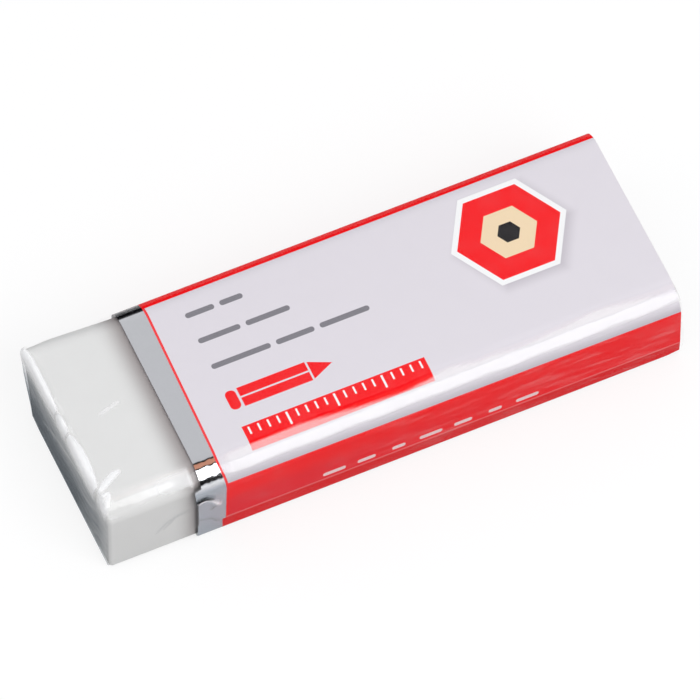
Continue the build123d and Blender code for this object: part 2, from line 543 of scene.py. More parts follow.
def rim(x, y, z):
    """Puffed lobes of film along the top edge of the bare end, as a lift and as a mask of hazy film that is also a
    painted highlight.
    """
    inside = x + half_length + film_stand
    below = block_height + film_stand - z
    lift = np.zeros(len(x))
    mask = np.zeros(len(x))
    for start, stop, depth, height in lobes:
        share = unit((start - y) / (start - stop))
        swell = np.sin(np.pi * share) ** 0.6
        reach = 0.1 + depth * swell
        over = ease(reach + 0.3, reach - 0.3, inside)
        lift = np.maximum(lift, height * swell * over * (1 - ease(0.2, 3.2, below)))
        crisp = ease(reach + 0.08, reach - 0.08, inside) * ease(0.02, 0.12, swell)
        mask = np.maximum(mask, crisp * (1 - ease(0.5, 2.4, below)))
    ear = np.exp(-(((y - 9.9) / 0.7) ** 2) - ((z - 9.4) / 0.8) ** 2)
    far_edge = ease(7.5, 10.0, y) * ease(1.0, 7.0, z)
    near_corner = ease(-7.6, -8.4, y) * ease(-10.3, -9.5, y) * ease(7.6, 8.8, z)
    lift = lift + (0.1 * ear + 0.2 * far_edge) * ease(1.2, 0.0, inside)
    return lift, np.maximum(mask, 0.7 * near_corner * ease(0.5, 0.2, inside))


fan = [
    ([(-30.46, -7.69), (-29.57, -7.69), (-28.68, -7.18), (-27.7, -6.62), (-27.2, -6.55)], 0.4),
    ([(-30.47, -8.4), (-29.7, -8.36), (-29.0, -8.36)], 0.27),
    ([(-29.0, -8.5), (-29.4, -8.98), (-29.82, -9.55)], 0.28),
    ([(-30.47, -9.0), (-30.05, -8.85), (-29.8, -8.9)], 0.18),
    ([(-30.6, -9.5), (-30.3, -9.8), (-30.15, -10.15)], 0.2),
    ([(-30.2, -10.3), (-29.68, -10.4), (-28.6, -10.5)], 0.22),
]


def top_creases(x, y):
    """The fan of small folds in the near corner and the pulls across the bare top, as a lift and as a mask of hazy
    film that is also a painted highlight.
    """
    lift = np.zeros(len(x))
    mask = np.zeros(len(x))
    for points, width in fan:
        fold = ridge(x, y, points, width, 1.0)
        lift = np.maximum(lift, 0.14 * fold)
        mask = np.maximum(mask, ease(0.3, 0.75, fold))
    streak = ridge(x, y, [(-26.3, 0.05), (-25.1, 0.36), (-24.06, 0.62)], 0.2, 1.0)
    pull_line = [(-30.26, -0.58), (-28.68, -0.98), (-27.05, -1.25), (-25.49, -1.18), (-24.06, -0.67)]
    pull = ridge(x, y, pull_line, 0.3, 1.0)
    return lift + 0.02 * pull, np.maximum(mask, 0.4 * ease(0.2, 0.9, streak))


def front_creases(x, z):
    """Pulls that run from the nipped foil across the bare front."""
    lift = np.zeros(len(x))
    for dx, dz in ((0, 0), (0.5, -0.5), (1.2, -0.7)):
        line = [(-21.0, 6.85 + dz), (-22.8 - dx, 5.1 + dz), (-23.8 - dx, 3.9 + dz)]
        lift = np.maximum(lift, ridge(x, z, line, 0.13, 1.0))
    return lift


# %% [markdown]
# Round the front's upper edge the film doesn't follow the turn: it stands off to a wavy crease, swells where it is
# slack over the sleeve, and lies in one flat fold where it climbs from the bare edge.

# %% Film round the front edge


def edge_angle(y, z):
    """How far round the front's upper edge a point lies, from the top."""
    return np.arctan2(-(y + upper_reach), z - upper_level)


def near_edge(x, y, z, crease, height):
    """The film over the front's upper edge: it stands off up to a wavy crease, and then goes down to the front."""
    turn = np.degrees(edge_angle(y, z))
    crease = crease + 3 * np.sin(x * 0.9) + 2 * np.sin(x * 2.3 + 1) + 1.2 * np.sin(x * 5.1)
    up = unit(turn / crease) ** 1.5
    down = unit((82 - turn) / (82 - crease))
    return height * np.where(turn < crease, up, down)


swell_starts = [
    (-18, 0.9), (-9.3, 0.72), (-5.7, 0.97), (-2, 1.22), (1.6, 1.32), (4.8, 1.04), (6.4, 0.75), (9.2, 1.22),
    (11.5, 1.16), (13.2, 1.43), (15.2, 1.26), (19, 1.05), (22.4, 0.73), (24.7, 1.05), (27, 1.3), (30, 1.73),
]


def swell(x, y, z):
    """Slack film over the sleeve's front edge: a low swell before the turn, as a lift, and a mask of painted
    highlight along the turn.
    """
    turn = np.where(y < -upper_reach, edge_angle(y, z), 0)
    past = np.where(y < -upper_reach, card_radius * turn, -(y + upper_reach))
    start = np.interp(x, *zip(*swell_starts))
    hump = np.exp(-(((past - 0.35) / 0.5) ** 2)) * np.clip(0.2 - 0.12 * start, 0.01, 0.12)
    turn_highlight = ease(start - 0.08, start + 0.12, past) * ease(2.7, 2.45, past + 0.05 * np.sin(x * 0.97))
    printed = ease(-17.8, -16.6, x)
    return hump * printed, turn_highlight * printed * (z > upper_level)


def facet(x, y, z):
    """The flat fold of the film from the bare edge up to the sleeve, as a lift and as a mask of painted highlight."""
    turn = np.degrees(edge_angle(y, z))
    flat_fold = 2.5 * (1 / np.cos(np.radians(np.clip(turn - 36, -22, 22))) - 1)
    ends = unit(turn / 14) * unit((76 - turn) / 18)
    crease = 53 + 3 * np.sin(x * 2.1) + 1.5 * np.sin(x * 4.7)
    lift = 0.45 * flat_fold * ends * ease(-29.0, -22.6, x)
    patch = ease(8, 24, turn) * ease(crease + 3, crease - 1, turn) * ease(-29.5, -22.0, x)
    return lift, patch * (1 - ease(-21.3, -20.9, x))


# %% [markdown]
# A painted shade on the film of the bare end dims the vinyl behind it, most at the bottom, and the pulls in it are
# lighter or darker painted lines.

# %% Painted shade of the folded end, and slack
end_pulls = [
    ([(6.0, 3.2), (2.0, 5.3), (-1.1, 6.5), (-4.6, 7.6)], 0.16, -0.34),
    ([(0.5, 2.4), (-3.5, 3.9), (-7.0, 6.0)], 0.13, -0.14),
    ([(-2.5, 4.3), (-6.3, 5.6), (-9.4, 7.8)], 0.15, -0.2),
    ([(-6.4, 0.7), (-8.4, 3.1), (-9.6, 6.4)], 0.15, -0.16),
    ([(4.5, 0.9), (-1.0, 2.2), (-5.5, 2.9)], 0.12, -0.08),
    ([(9.0, 7.2), (7.4, 5.6), (6.2, 4.0)], 0.25, 0.14),
    ([(5.6, 6.6), (3.2, 5.7), (1.2, 5.0)], 0.2, 0.12),
    ([(-4.6, 6.6), (-7.4, 7.4), (-9.4, 8.6)], 0.2, 0.12),
    ([(-7.2, 1.2), (-8.9, 3.3), (-9.9, 6.2)], 0.16, 0.14),
    ([(-4.8, 1.6), (-8.0, 4.2), (-9.0, 5.6)], 0.18, 0.12),
]


def end_shade(y, z):
    """How much painted shade dims the film on the bare end, with lighter and darker painted pulls."""
    low = np.interp(z, [2.0, 3.0, 4.0, 5.0, 6.0, 7.0, 8.0, 9.0], [0.94, 0.88, 0.8, 0.6, 0.48, 0.38, 0.16, 0.0])
    near = np.interp(y, [-10.3, -9.0, -7.0, -5.0, -3.0, 0.0], [0.2, 0.5, 0.57, 0.7, 0.9, 1.0])
    shade = np.minimum(low, near)
    for points, width, depth in end_pulls:
        shade = shade + ridge(y, z, points, width, depth)
    streaky_shade = 0.04 * np.sin(z * 5.3 + 2.2 * np.sin(y * 0.8) + y) + 0.03 * np.sin(z * 9.1 - y * 2.7)
    shade = shade + streaky_shade * ease(8.6, 6.5, z)
    return unit(shade) * ease(-0.05, 0.25, z)


def slack(x, y, z):
    """A very slight waviness that no pulled film is free of."""
    waves = np.sin(x * 1.1 + y * 0.6) + np.sin(x * 0.45 - y * 1.3 + z) + np.sin(x * 2.1 + z * 1.7 + 2)
    return 0.006 * (waves + 3) / 3


# %% [markdown]
# Now every corner of the net is moved at once: with the block's own squeezed form, out over the sleeve, and up by the
# sum of its lifts. At the far end the film goes round the card that stands past the block.

# %% Lift the film
# Strengths of the pulls' lift and painted shade, and of the painted highlight along the turn and on the flat fold.
pull_height = 0.05
pull_shade = 0.15
turn_highlight_share = 0.3
facet_highlight_share = 0.45

spots = corners(clear_wrap)
normals = np.empty(len(spots) * 3)
clear_wrap.data.vertex_normals.foreach_get("vector", normals)
normals = normals.reshape(-1, 3)
x, y, z = spots.T
facing_top = ease(0.5, 0.9, normals[:, 2])
facing_front = ease(0.5, 0.9, -normals[:, 1])
facing_end = ease(0.7, 0.95, np.abs(normals[:, 0]))
facing_back = ease(0.7, 0.95, normals[:, 1])
bare = 1 - ease(ramp_left, ramp_right, x)
at_left = ease(-half_length + 3, -half_length + 2, x)
near_rim = ((y < -upper_reach) & (z > upper_level)).astype(float)

tucks, top_flap, bottom_flap = end_layers(y, z)
rim_lift, rim_mask = rim(x, y, z)
top_lift, top_mask = top_creases(x, y)
lift = slack(x, y, z)
lift += facing_end * (0.3 + 0.7 * at_left) * layer * (0.7 * tucks + top_flap + 2 * bottom_flap)
lift += np.maximum(facing_top * bare * top_lift, at_left * rim_lift)
pulls = facing_front * bare * front_creases(x, z)
lift += pull_height * pulls
lift += facing_front * (1 - bare) * nip(x, z)
facet_lift, facet_highlight = facet(x, y, z)
near_lift = np.maximum(near_edge(x, y, z, 46, 0.12), facet_lift)
over_card = near_edge(x + 3, y, z, 55, 0.24)
over_card *= 1 - 0.7 * ease(27.0, 30.0, x)
over_card *= ease(-18.6, -17.2, x)
lift += near_rim * (bare * near_lift + (1 - bare) * over_card)
hump, turn_highlight = swell(x, y, z)
lift += (1 - bare) * (normals[:, 2] > 0.2) * (y < 0) * hump
lift += facing_back * layer * ease(0.02, -0.02, np.abs(z - block_height / 2) - 2.0)
lift *= 1 - ease(0.3, 0.8, -normals[:, 2])
moved = squeeze(soften_end(spots, film_stand)) + step_out(spots) + normals * lift[:, None]
at_right = ease(29.0, half_length, x) * ease(4.0, -4.0, y)
moved[:, 0] += at_right * (0.1 + 0.3 * ease(9.0, 3.0, z) * ease(-6.0, -9.0, y))
move_corners(clear_wrap, moved)

# Haze that is partly white crushed film and partly painted highlight: the lobes, the fan and streak, the band along
# the front turn and the flat fold.
haze_and_highlight = np.maximum(at_left * rim_mask, ease(0.3, 0.7, normals[:, 2]) * bare * top_mask)
haze_and_highlight = np.maximum(haze_and_highlight, turn_highlight_share * (1 - bare) * (y < 0) * turn_highlight)
haze_and_highlight = np.maximum(haze_and_highlight, facet_highlight_share * near_rim * facet_highlight)
# Painted shade: a grey-blue dimming over the bare end, and fainter along the pulls on the front.
folded = np.maximum(facing_end * at_left * end_shade(y, z), pull_shade * pulls)
scuffed = facing_front * (1 - bare) * (0.25 + 0.75 * ease(-15, 20, x))
for name, values in (("folded", folded), ("haze_and_highlight", haze_and_highlight), ("scuffed", scuffed)):
    paint_corners(clear_wrap, name, values)
thicken(clear_wrap, film_gauge)
finish_surface(clear_wrap, 60)
print("clear wrap:", len(clear_wrap.data.polygons), "faces, largest lift", round(float(lift.max()), 3), "mm")

# %% [markdown]
# ## Words for the materials
#
# A node tree is easier to read as a sum than as a drawing, so a small class gives short words for its nodes:
# a value given to a word may be a number or another node's output. What several finishes share is built once
# as a node group: a printed bar with round corners, a printed hexagon, and the fine mottle that keeps every
# real surface from being one flat colour.

# %% Node helpers


class Nodes:
    """Short words for the nodes of one tree."""

    def __init__(self, tree):
        self.tree = tree

    def put(self, socket, value):
        """Links an output to a socket, or sets the socket's own value."""
        if isinstance(value, bpy.types.NodeSocket):
            self.tree.links.new(value, socket)
        else:
            socket.default_value = value

    def add(self, kind, inputs=None, **settings):
        """A node with its settings, and its sockets by name."""
        node = self.tree.nodes.new("ShaderNode" + kind)
        for name, value in settings.items():
            setattr(node, name, value)
        for name, value in (inputs or {}).items():
            self.put(node.inputs[name], value)
        return node

    def math(self, operation, *values, kind="Math"):
        """A calculation on up to three values."""
        node = self.add(kind, operation=operation)
        for socket, value in zip(node.inputs, values):
            self.put(socket, value)
        return node.outputs[0]

    times = partialmethod(math, "MULTIPLY")
    plus = partialmethod(math, "ADD")
    minus = partialmethod(math, "SUBTRACT")
    most = partialmethod(math, "MAXIMUM")
    vector = partialmethod(math, kind="VectorMath")

    def between(self, value, low, high, first=0.0, last=1.0):
        """A soft step from first to last while the value goes from low to high."""
        inputs = {"Value": value, "From Min": low, "From Max": high, "To Min": first, "To Max": last}
        return self.add("MapRange", inputs, interpolation_type="SMOOTHSTEP").outputs["Result"]

    def mix(self, factor, a, b):
        """Colour a, or colour b where the factor is 1."""
        node = self.add("Mix", data_type="RGBA")
        for socket, value in zip((node.inputs[0], node.inputs[6], node.inputs[7]), (factor, a, b)):
            self.put(socket, value)
        return node.outputs[2]

    def blend(self, factor, a, b):
        """Shader a, or shader b where the factor is 1."""
        node = self.add("MixShader", {"Fac": factor})
        self.put(node.inputs[1], a)
        self.put(node.inputs[2], b)
        return node.outputs["Shader"]

    def parts(self, vector):
        """The X, Y and Z of a vector."""
        return self.add("SeparateXYZ", {"Vector": vector}).outputs

    def painted(self, name):
        """What was painted on the corners of the mesh under a name."""
        return self.add("Attribute", attribute_name=name, attribute_type="GEOMETRY").outputs["Fac"]

    def group(self, tree, **inputs):
        """A group node, with its sockets by name."""
        node = self.add("Group", node_tree=tree)
        for name, value in inputs.items():
            self.put(node.inputs[name], value)
        return node


def new_group(name, inputs, outputs):
    """An empty node group with named sockets, given as name and kind."""
    tree = bpy.data.node_groups.new(name, "ShaderNodeTree")
    for way, sockets in (("INPUT", inputs), ("OUTPUT", outputs)):
        for socket, kind in sockets.items():
            tree.interface.new_socket(name=socket, in_out=way, socket_type="NodeSocket" + kind)
    words = Nodes(tree)
    return words, tree.nodes.new("NodeGroupInput").outputs, tree.nodes.new("NodeGroupOutput").inputs


def new_material(name):
    """A material with an empty tree, and the socket for its surface."""
    material = bpy.data.materials.new(name)
    material.use_nodes = True
    material.node_tree.nodes.clear()
    words = Nodes(material.node_tree)
    return material, words, words.add("OutputMaterial").inputs["Surface"]


def rgb(red, green, blue):
    """A colour as it is read off a screen, 0 to 255, for a colour socket."""
    share = [value / 255 for value in (red, green, blue)]
    return (*[s / 12.92 if s <= 0.04045 else ((s + 0.055) / 1.055) ** 2.4 for s in share], 1.0)


# %% Shared node groups
n, given, made = new_group(
    "printed_bar",
    {"Sheet": "Vector", "Centre": "Vector", "Half": "Vector", "Corner": "Float", "Soft": "Float"},
    {"Mask": "Float"},
)
off = n.vector("ABSOLUTE", n.vector("SUBTRACT", given["Sheet"], given["Centre"]))
off = n.parts(n.vector("SUBTRACT", off, given["Half"]))
side_x = n.plus(off["X"], given["Corner"])
side_y = n.plus(off["Y"], given["Corner"])
outer_x = n.most(side_x, 0.0)
outer_y = n.most(side_y, 0.0)
outer = n.math("SQRT", n.plus(n.times(outer_x, outer_x), n.times(outer_y, outer_y)))
inner = n.math("MINIMUM", n.most(side_x, side_y), 0.0)
edge = n.minus(n.plus(outer, inner), given["Corner"])
n.put(made["Mask"], n.between(edge, n.times(given["Soft"], -1.0), given["Soft"], 1.0, 0.0))
printed_bar = n.tree

n, given, made = new_group(
    "printed_hexagon",
    {"Sheet": "Vector", "Centre": "Vector", "Reach": "Float", "Soft": "Float"},
    {"Mask": "Float"},
)
off = n.parts(n.vector("SUBTRACT", given["Sheet"], given["Centre"]))
flat_x = n.math("ABSOLUTE", off["X"])
flat_y = n.math("ABSOLUTE", off["Y"])
slant = n.plus(n.times(flat_x, cos(pi / 6)), n.times(flat_y, sin(pi / 6)))
edge = n.minus(n.most(slant, flat_y), given["Reach"])
n.put(made["Mask"], n.between(edge, n.times(given["Soft"], -1.0), given["Soft"], 1.0, 0.0))
printed_hexagon = n.tree

n, given, made = new_group("fine_mottle", {"Scale": "Float", "Depth": "Float"}, {"Tone": "Float", "Height": "Float"})
spot = n.add("TexCoord").outputs["Object"]
broad = n.add("TexNoise", {"Vector": spot, "Scale": given["Scale"], "Detail": 3.0}).outputs["Fac"]
fine_scale = n.times(given["Scale"], 9.0)
fine = n.add("TexNoise", {"Vector": spot, "Scale": fine_scale, "Detail": 2.0}).outputs["Fac"]
n.put(made["Tone"], n.times(n.minus(broad, 0.5), given["Depth"]))
n.put(made["Height"], n.plus(n.times(broad, 0.4), n.times(fine, 0.6)))
fine_mottle = n.tree
print("node groups:", [tree.name for tree in bpy.data.node_groups])

# %% [markdown]
# ## White vinyl
#
# Eraser vinyl is a soft, dense white with no gloss. It is not paper white: it has a faint warm grey in it, a
# little cloudiness from the filler, and a skin with a very fine tooth where it was pressed. Beside the sleeve, where
# the card's mouth keeps the light away, the vinyl has a painted soft brown shade, and on its front a painted thin
# dark shadow where the sleeve stands off it.

# %% White vinyl
white_vinyl, n, surface = new_material("pressed_vinyl")
mottle = n.group(fine_mottle, Scale=350.0, Depth=0.5).outputs
tone = n.plus(mottle["Tone"], 0.5)
colour = n.mix(tone, (0.697, 0.696, 0.684, 1), (0.767, 0.766, 0.755, 1))
spot = n.parts(n.add("TexCoord").outputs["Object"])
sleeve_edge = sleeve_low.x + flap_peek * mm
# Painted shade: the vinyl darkens to a soft brown towards the sleeve's edge.
shade = n.between(spot["X"], sleeve_edge - 4.0 * mm, sleeve_edge + 0.1 * mm)
colour = n.mix(n.math("POWER", shade, 2.5), colour, (0.32, 0.288, 0.285, 1))
# Painted shadow: a thin dark line on the front just short of the sleeve, darkest at the bottom.
in_front = n.between(spot["Y"], block_low.y + 0.1 * mm, block_low.y + 0.4 * mm, 1.0, 0.0)
gap_shadow = n.between(spot["X"], sleeve_low.x - 0.3 * mm, sleeve_low.x - 0.02 * mm)
gap_shadow = n.times(gap_shadow, n.between(spot["Z"], block_low.z + 0.3 * mm, block_low.z + 1.6 * mm, 1.0, 0.5))
colour = n.mix(n.times(gap_shadow, in_front), colour, (0.03, 0.031, 0.033, 1))
bump = n.add("Bump", {"Height": mottle["Height"], "Strength": 0.15, "Distance": 0.00004})
skin = n.add(
    "BsdfPrincipled",
    {"Base Color": colour, "Roughness": 0.6, "Normal": bump.outputs["Normal"], "Specular IOR Level": 0.25},
)
n.put(surface, skin.outputs["BSDF"])
vinyl_block.data.materials.append(white_vinyl)

# %% [markdown]
# ## Printed foil card
#
# The strip is card with a bright foil face. Two inks cover most of the foil: a pale lilac grey on the broad
# faces and red on the narrow ones, and a margin at the bare end is left as foil. Both inks have a painted shade round
# and below the front turn, which faces the darker part of the room. All print is drawn on the flat sheet, in
# millimetres: X along the block, and Y as it lies on the top face, running on down the front as negative values.
# The marks are plain ones: a few lines of grey dashes, a pencil, a ruler strip and a pencil's hexagonal end, each
# built from bars and hexagons. A row of dashes runs along the front.

# %% Printed card
printed_card, n, surface = new_material("printed_foil_card")
uv = n.add("UVMap", uv_map="sheet").outputs["UV"]
flat = n.add("VectorMath", {"Vector": uv, "Scale": sheet_unit}, operation="SCALE")
flat = n.parts(flat.outputs["Vector"])
top_start = unrolled(upper_reach, block_height + out)
along = flat["X"]
down = n.minus(upper_reach + top_start, flat["Y"])
sheet = n.add("CombineXYZ", {"X": along, "Y": down}).outputs["Vector"]

foil = (0.66, 0.67, 0.69, 1)
front_foil_reflection = (0.345, 0.375, 0.415, 1)
pale = (0.72, 0.685, 0.73, 1)
shaded_turn_pale = (0.55, 0.515, 0.56, 1)
red = (0.90, 0.008, 0.012, 1)
front_red = (0.97, 0.006, 0.01, 1)
shaded_low_red = (0.74, 0.02, 0.038, 1)
back_red = (1.0, 0.005, 0.008, 1)
ink_grey = rgb(128, 126, 132)
white = (0.9, 0.9, 0.9, 1)
lead = rgb(28, 26, 28)
crisp = 0.03


def bar(centre, half, corner=0.0, soft=crisp):
    """The mask of a printed bar on the sheet."""
    inputs = {"Centre": (*centre, 0), "Half": (*half, 0), "Corner": corner, "Soft": soft, "Sheet": sheet}
    return n.group(printed_bar, **inputs).outputs["Mask"]


def hexagon(centre, reach, soft=crisp):
    """The mask of a printed hexagon on the sheet."""
    inputs = {"Centre": (*centre, 0), "Reach": reach, "Soft": soft, "Sheet": sheet}
    return n.group(printed_hexagon, **inputs).outputs["Mask"]


def any_of(masks):
    """One mask where any of several is."""
    return reduce(n.most, masks)


def past_line(value, line):
    """The mask of what lies past a line of the print."""
    return n.between(value, line - crisp, line + crisp)


def short_of(value, line):
    """The mask of what lies short of a line of the print."""
    return n.between(value, line - crisp, line + crisp, 1.0, 0.0)


# Colour fields: red round the sides, pale on the broad faces, foil left of a slanting line
front_turn = last_centre[0] - last_radius * pi / 2
front_line = n.math("MULTIPLY_ADD", along, -0.0066, front_turn + 0.78)
above_front = n.minus(down, front_line)
red_front = short_of(above_front, 0.0)
back_line = upper_reach + 1.1
red_back = past_line(down, back_line)
under_back = upper_reach + (card_radius + lower_radius + out) * pi / 2 + upper_level - lower_level - 0.4
under_front = under_back + 2 * lower_reach + 0.8
pale_under = n.times(past_line(down, under_back), short_of(down, under_front))
# Painted shade: the pale ink darkens over the last 1.5 mm before the front turn.
turn_shade = n.between(above_front, 0.0, 1.5, 1.0, 0.0)
field = n.mix(turn_shade, pale, shaded_turn_pale)
field = n.mix(n.minus(red_back, pale_under), field, back_red)
field = n.mix(red_front, field, front_red)
# Painted shade: the red darkens low on the front, most towards the bare end.
low_front = n.between(down, front_turn - 3.0, front_turn - 0.6, 1.0, 0.0)
low_front = n.times(low_front, n.between(along, -18.0, 14.0, 0.6, 0.1))
field = n.mix(n.times(low_front, red_front), field, shaded_low_red)

# Printed marks on the top
line_starts = -14.4
lines = []
for height, words in ((6.6, (3.0, 2.4)), (3.5, (4.4, 4.6)), (0.35, (6.2, 4.0, 5.2))):
    start = line_starts
    for word in words:
        lines.append(bar((start + word / 2, height), (word / 2, 0.3), 0.28))
        start += word + 0.6
field = n.mix(any_of(lines), field, ink_grey)

# %% [markdown]
# The pencil lies where a heading would be: a capped end, a long body with a pale stripe, and a cone. The ruler strip
# below it has a tick for each millimetre and a longer one for each fifth.

# %% Pencil, ruler and hexagon
pencil_y = -3.85
body = bar((-9.6, pencil_y), (3.6, 1.1))
cap = bar((-14.0, pencil_y), (0.55, 1.1), 0.5)
slope = n.math("ABSOLUTE", n.minus(down, pencil_y))
cone_edge = n.plus(n.times(slope, 2.2), along)
cone = n.times(short_of(cone_edge, -3.6), bar((-4.8, pencil_y), (1.2, 1.1)))
stripe = bar((-9.6, pencil_y), (3.6, 0.09))
field = n.mix(any_of([body, cap, cone]), field, red)
field = n.mix(n.most(stripe, bar((-5.95, pencil_y), (0.1, 1.1))), field, pale)

ruler = bar((-4.9, -8.3), (9.6, 1.36))
every = n.math("ABSOLUTE", n.minus(n.math("FRACT", n.plus(along, 0.4)), 0.5))
tick = n.between(every, 0.07, 0.12, 1.0, 0.0)
fifth = n.math("ABSOLUTE", n.minus(n.math("FRACT", n.math("MULTIPLY_ADD", along, 0.2, 0.48)), 0.5))
long_tick = n.between(fifth, 0.018, 0.026, 1.0, 0.0)
ticks = n.times(tick, bar((-4.9, -7.6), (9.2, 0.42)))
long_ticks = n.times(long_tick, bar((-4.9, -7.85), (9.2, 0.72)))
field = n.mix(ruler, field, red)
field = n.mix(n.most(ticks, long_ticks), field, white)

badge = (18.0, 2.6)
shade = hexagon((badge[0] + 0.35, badge[1] - 0.5), 5.3, 0.9)
field = n.mix(n.times(shade, 0.35), field, rgb(120, 110, 122))
for reach, ink in ((5.3, white), (4.75, red), (2.6, rgb(238, 214, 178)), (1.05, lead)):
    field = n.mix(hexagon(badge, reach), field, ink)

dashes = []
for number in range(7):
    dash = (1.2 - 0.25 * (number % 3), 0.28)
    dashes.append(bar((-6.6 + 3.4 * number, front_turn - 4.2), dash, 0.25))
field = n.mix(any_of(dashes), field, rgb(246, 214, 214))

# %% [markdown]
# The foil margin ends in a thin red line. Foil is the only bare metal here, so the same mask that gives it its
# colour also makes it metal and smooths it, while the inks are a satin lacquer. On the front, on the far turn and
# along its creases the foil has a painted reflection: darker tones for the dark things that it mirrors, and along
# the creases a painted highlight as well. The card's last edge is drawn paler, and the glue flap under it has a
# painted shade.

# %% Foil margin
margin = n.math("MULTIPLY_ADD", n.math("MINIMUM", down, upper_reach), 0.0243, -18.02)
margin = n.plus(margin, n.between(down, -12.6, -9.0, 0.42, 0.0))
past = n.minus(along, margin)
inked = past_line(past, 0.0)
hairline = short_of(past, 0.25)
mottle = n.group(fine_mottle, Scale=500.0, Depth=0.1).outputs
field = n.mix(n.times(hairline, 0.95), field, red)
tinted = n.mix(n.plus(mottle["Tone"], 0.005), field, (0.5, 0.47, 0.5, 1))
sheet_end = unrolled(last_front, seam_height)
# The card's last edge is drawn paler over its last 0.3 mm.
pale_edge_line = n.between(flat["Y"], sheet_end - 0.3, sheet_end - 0.1)
tinted = n.mix(n.times(pale_edge_line, 0.4), tinted, (0.85, 0.4, 0.4, 1))
# Painted shade: the glue flap below the seam gets a darker red.
flap_side = n.between(flat["Y"], 8.0, 9.0, 1.0, 0.0)
tinted = n.mix(n.times(flap_side, 0.28), tinted, (0.25, 0.006, 0.014, 1))
# Painted reflection: the foil is darker on the front and on the glue flap, and near black on the far turn.
on_front = n.most(n.between(down, -12.2, -11.2, 1.0, 0.0), flap_side)
shaded_foil = n.mix(on_front, foil, front_foil_reflection)
far_turn_reflection = n.between(down, upper_reach + 0.75, upper_reach + 0.95)
far_turn_reflection = n.times(far_turn_reflection, n.between(down, 11.4, 12.2, 1.0, 0.0))
shaded_foil = n.mix(far_turn_reflection, shaded_foil, (0.03, 0.03, 0.034, 1))
# Painted reflection and highlight along the creases: near black above 0, bright below 0.
crease_light = n.painted("painted_crease_light")
shaded_foil = n.mix(crease_light, shaded_foil, (0.002, 0.0022, 0.003, 1))
shaded_foil = n.mix(n.times(crease_light, -1.0), shaded_foil, (0.9, 0.91, 0.93, 1))
colour = n.mix(inked, shaded_foil, tinted)
bump = n.add("Bump", {"Height": mottle["Height"], "Strength": 0.12, "Distance": 0.00002})
face = n.add(
    "BsdfPrincipled",
    {
        "Base Color": colour,
        "Metallic": n.minus(1.0, inked),
        "Roughness": n.between(inked, 0.0, 1.0, 0.08, 0.55),
        "Specular IOR Level": 0.02,
        "Normal": bump.outputs["Normal"],
    },
)
n.put(surface, face.outputs["BSDF"])
printed_sleeve.data.materials.append(printed_card)

# %% [markdown]
# The inner side and the cut edges are the card itself: greyish white, with short fibres.

# %% Card core
card_core, n, surface = new_material("card_core")
spot = n.add("TexCoord").outputs["Object"]
fibre_place = n.add("Mapping", {"Vector": spot, "Scale": (900.0, 6000.0, 6000.0)}).outputs["Vector"]
fibre = n.add("TexNoise", {"Vector": fibre_place, "Scale": 1.0, "Detail": 3.0}).outputs["Fac"]
core_bump = n.add("Bump", {"Height": fibre, "Strength": 0.2, "Distance": 0.00003})
core = n.add(
    "BsdfPrincipled",
    {
        "Base Color": n.mix(fibre, rgb(186, 182, 176), rgb(226, 223, 218)),
        "Roughness": 0.85,
        "Normal": core_bump.outputs["Normal"],
    },
)
n.put(surface, core.outputs["BSDF"])
printed_sleeve.data.materials.append(card_core)

# %% [markdown]
# ## Clear film
#
# Film is seen only by what it mirrors. A glass shader would bend the view twice in a few hundredths of a
# millimetre and need many more samples, so the film is a mirror laid over a see-through surface, and the mirror
# grows towards a glancing view as on any clear plastic. Where the end's flaps lie on each other and along the
# pulls on the front, a grey-blue painted shade dims what is behind the film, and where it is puffed or crushed into
# small folds it is a little hazy, a white that is also a painted highlight. Fine streaks from the rolling run along
# the film, and show as scuffs on the front. The film casts no shadow and takes no part in soft light, so its haze
# brightens what it covers and never greys it.

# %% Clear film
clear_film, n, surface = new_material("wrapping_film")
spot = n.add("TexCoord").outputs["Object"]
streak_place = n.add("Mapping", {"Vector": spot, "Scale": (260.0, 1500.0, 1500.0)}).outputs["Vector"]
streak = n.add("TexNoise", {"Vector": streak_place, "Scale": 1.0, "Detail": 3.0}).outputs["Fac"]
film_bump = n.add("Bump", {"Height": streak, "Strength": 0.25, "Distance": 0.00004})
glance = n.add("LayerWeight", {"Blend": 0.5, "Normal": film_bump.outputs["Normal"]}).outputs["Facing"]
painted_dimming = n.painted("folded")
scuffs = n.times(n.painted("scuffed"), n.between(streak, 0.45, 0.8, 0.0, 0.09))
# The haze is partly white crushed film and partly a painted highlight; it also raises the mirror.
haze = n.most(n.painted("haze_and_highlight"), scuffs)
facing_share = n.math("MULTIPLY_ADD", haze, 0.02, 0.013)
mirror_share = n.math("MULTIPLY_ADD", n.math("POWER", glance, 6.0), 0.06, facing_share)
# Painted shade: the see-through film turns grey-blue where the painted shade on its corners says.
see_through = n.add("BsdfTransparent", {"Color": n.mix(painted_dimming, (1, 1, 1, 1), (0.43, 0.46, 0.49, 1))})
haze_and_highlight_white = n.add("BsdfDiffuse", {"Color": (0.91, 0.91, 0.915, 1)})
sheet_body = n.blend(n.times(haze, 0.8), see_through.outputs["BSDF"], haze_and_highlight_white.outputs["BSDF"])
gloss = n.add(
    "BsdfPrincipled",
    {"Base Color": (1, 1, 1, 1), "Metallic": 1.0, "Roughness": 0.06, "Normal": film_bump.outputs["Normal"]},
)
n.put(surface, n.blend(mirror_share, sheet_body, gloss.outputs["BSDF"]))
clear_wrap.data.materials.append(clear_film)
clear_wrap.visible_shadow = False
clear_wrap.visible_diffuse = False

# %% [markdown]
# ## Hand the pieces to the frame
#
# Nothing moves on the wrapped eraser, so all pieces ride on its one body, and each stands for its CAD solid.

